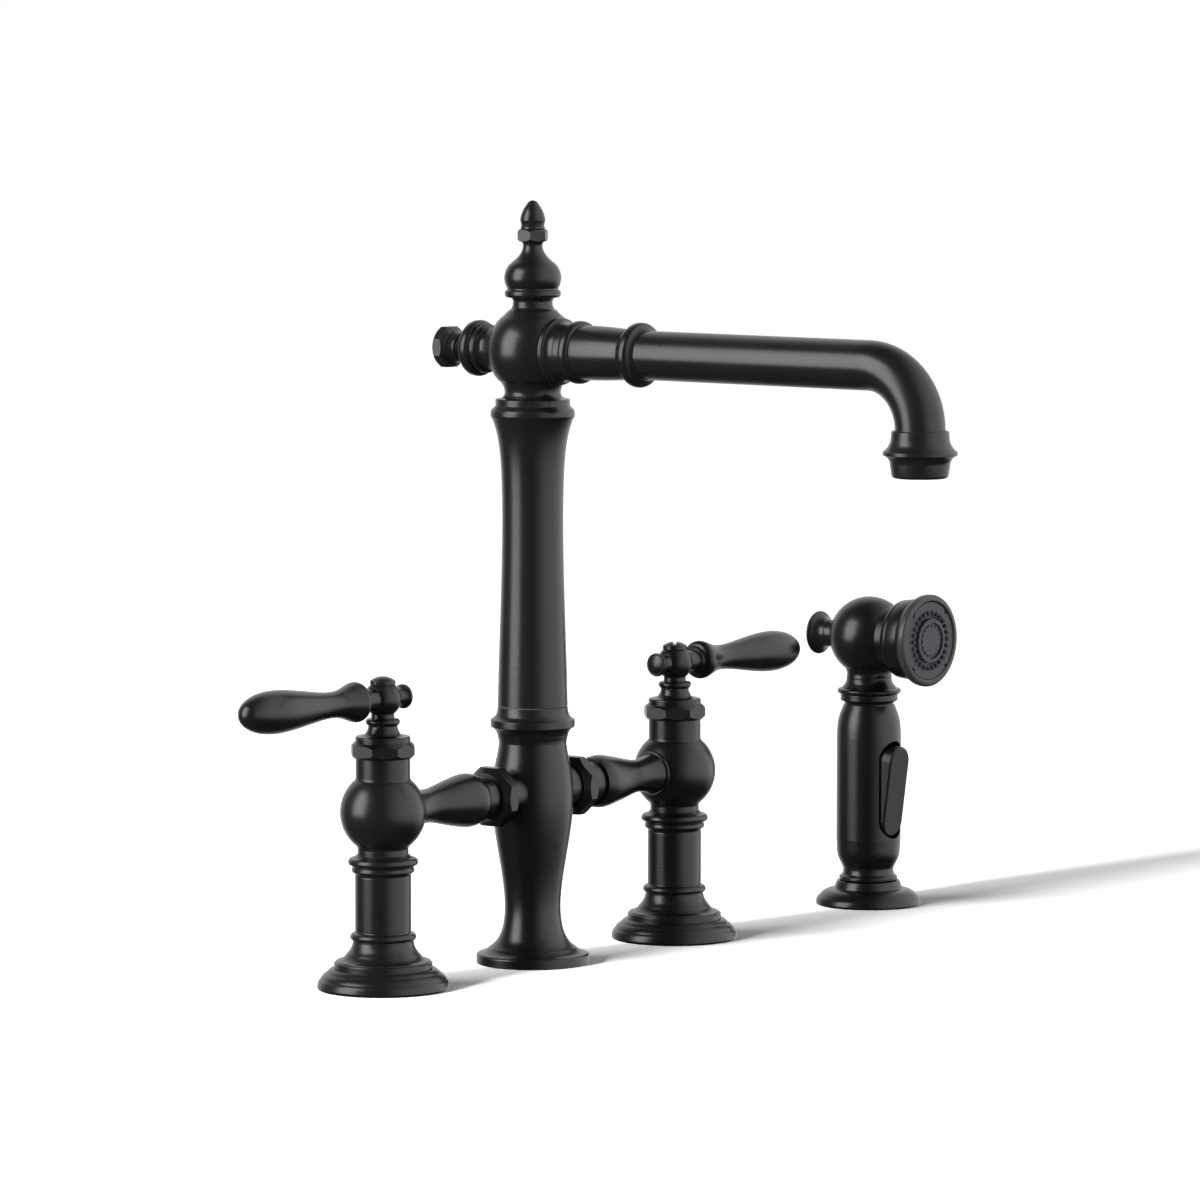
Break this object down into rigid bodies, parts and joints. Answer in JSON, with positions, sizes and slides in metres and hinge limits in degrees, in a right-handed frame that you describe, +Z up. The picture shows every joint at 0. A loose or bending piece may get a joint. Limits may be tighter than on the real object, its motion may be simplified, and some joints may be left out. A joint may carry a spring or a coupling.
{
  "type": "bridge kitchen faucet with side sprayer",
  "caption": "Deck-mounted bridge kitchen faucet in matte black: turned valve legs joined by a bridge, lever handles, tall swivel spout with finials, and a lift-out side sprayer.",
  "frame": {"origin": "mouth of the tapped stud hole in the foot of the centre post, on the deck plane", "axes": "+X runs along the bridge to the right-hand valve and the side sprayer, +Z is up, and the spout and the spray face point along -Y, towards the user"},
  "size_m": [0.4666, 0.2814, 0.3409],
  "materials": {
    "matte_black": "satin black coat",
    "bronze_rim": "dark bronze, satin",
    "slate_face": "slate grey, moulded",
    "nozzle_rubber": "soft matte grey",
    "rubber": "soft matte",
    "brass": "turned, unplated",
    "ceramic": "lapped ceramic",
    "steel": "plain stainless",
    "nylon": "moulded nylon",
    "trigger_black": "satin black"
  },
  "bodies": {
    "faucet_base": {"centre_post": "matte_black", "swivel_bush": "nylon", "swivel_grub_screw": "steel", "base_flanges": "matte_black", "valve_legs": "matte_black", "inlet_shanks": "brass", "left_valve_body": "matte_black", "right_valve_body": "matte_black", "bonnet_nuts": "matte_black", "bonnets": "matte_black", "cartridge_shells": "brass", "fixed_discs": "ceramic", "left_bridge_arm": "matte_black", "right_bridge_arm": "matte_black", "union_nuts": "matte_black", "fixed_seals": "rubber", "sprayer_holder": "matte_black", "sprayer_bush": "nylon"},
    "spout": {"column": "matte_black", "swivel_spigot": "brass", "spout_seals": "rubber", "spout_head": "matte_black", "finial_bulb": "matte_black", "finial_tip": "matte_black", "rear_collar": "matte_black", "rear_disc": "matte_black", "rear_knob": "matte_black", "spout_socket": "matte_black", "spout_sleeve": "matte_black", "spout_tube": "matte_black", "aerator_shell": "matte_black", "aerator_insert": "nylon"},
    "left_handle": {"left_hub": "matte_black", "left_hub_screw": "matte_black", "left_hub_knob": "matte_black", "left_lever": "matte_black", "left_stem": "brass", "left_turning_disc": "ceramic"},
    "right_handle": {"right_hub": "matte_black", "right_hub_screw": "matte_black", "right_hub_knob": "matte_black", "right_lever": "matte_black", "right_stem": "brass", "right_turning_disc": "ceramic"},
    "sprayer": {"handle_foot": "matte_black", "handle_grip": "matte_black", "neck_ring": "matte_black", "valve_core": "nylon", "trigger_pin": "steel", "plunger_spring": "steel", "spray_head": "matte_black", "spray_rear_knob": "matte_black", "bell_ring": "matte_black", "bell": "matte_black", "bell_rim": "bronze_rim", "spray_face": "slate_face", "spray_nozzles": "nozzle_rubber", "spray_button": "slate_face"},
    "trigger": {"trigger": "trigger_black"},
    "plunger": {"plunger": "steel"}
  },
  "joints": [
    {"name": "spout_swivel", "type": "hinge", "parent": "faucet_base", "child": "spout", "pos_m": [0, 0, 0.1155], "axis": [0, 0, 1], "continuous": true},
    {"name": "left_handle_turn", "type": "hinge", "parent": "faucet_base", "child": "left_handle", "pos_m": [-0.1016, 0, 0.1152], "axis": [0, 0, 1], "range_deg": [0, 90]},
    {"name": "right_handle_turn", "type": "hinge", "parent": "faucet_base", "child": "right_handle", "pos_m": [0.1016, 0, 0.1152], "axis": [0, 0, 1], "range_deg": [-90, 0]},
    {"name": "sprayer_lift", "type": "slide", "parent": "faucet_base", "child": "sprayer", "axis": [0, 0, 1], "range_m": [0, 0.15]},
    {"name": "trigger_press", "type": "hinge", "parent": "sprayer", "child": "trigger", "pos_m": [0.2499, -0.0094, 0.0374], "axis": [-1, 0, 0], "range_deg": [0, 7.7], "stiffness_Nm_per_rad": 0.5, "springref_deg": -5.73},
    {"name": "plunger_push", "type": "slide", "parent": "sprayer", "child": "plunger", "axis": [0, 1, 0], "range_m": [0, 0.00361], "deforming": ["plunger_spring"]}
  ],
  "couplings": [
    {"joint": "plunger_push", "follows": "trigger_press", "m_per_rad": 0.0246}
  ]
}
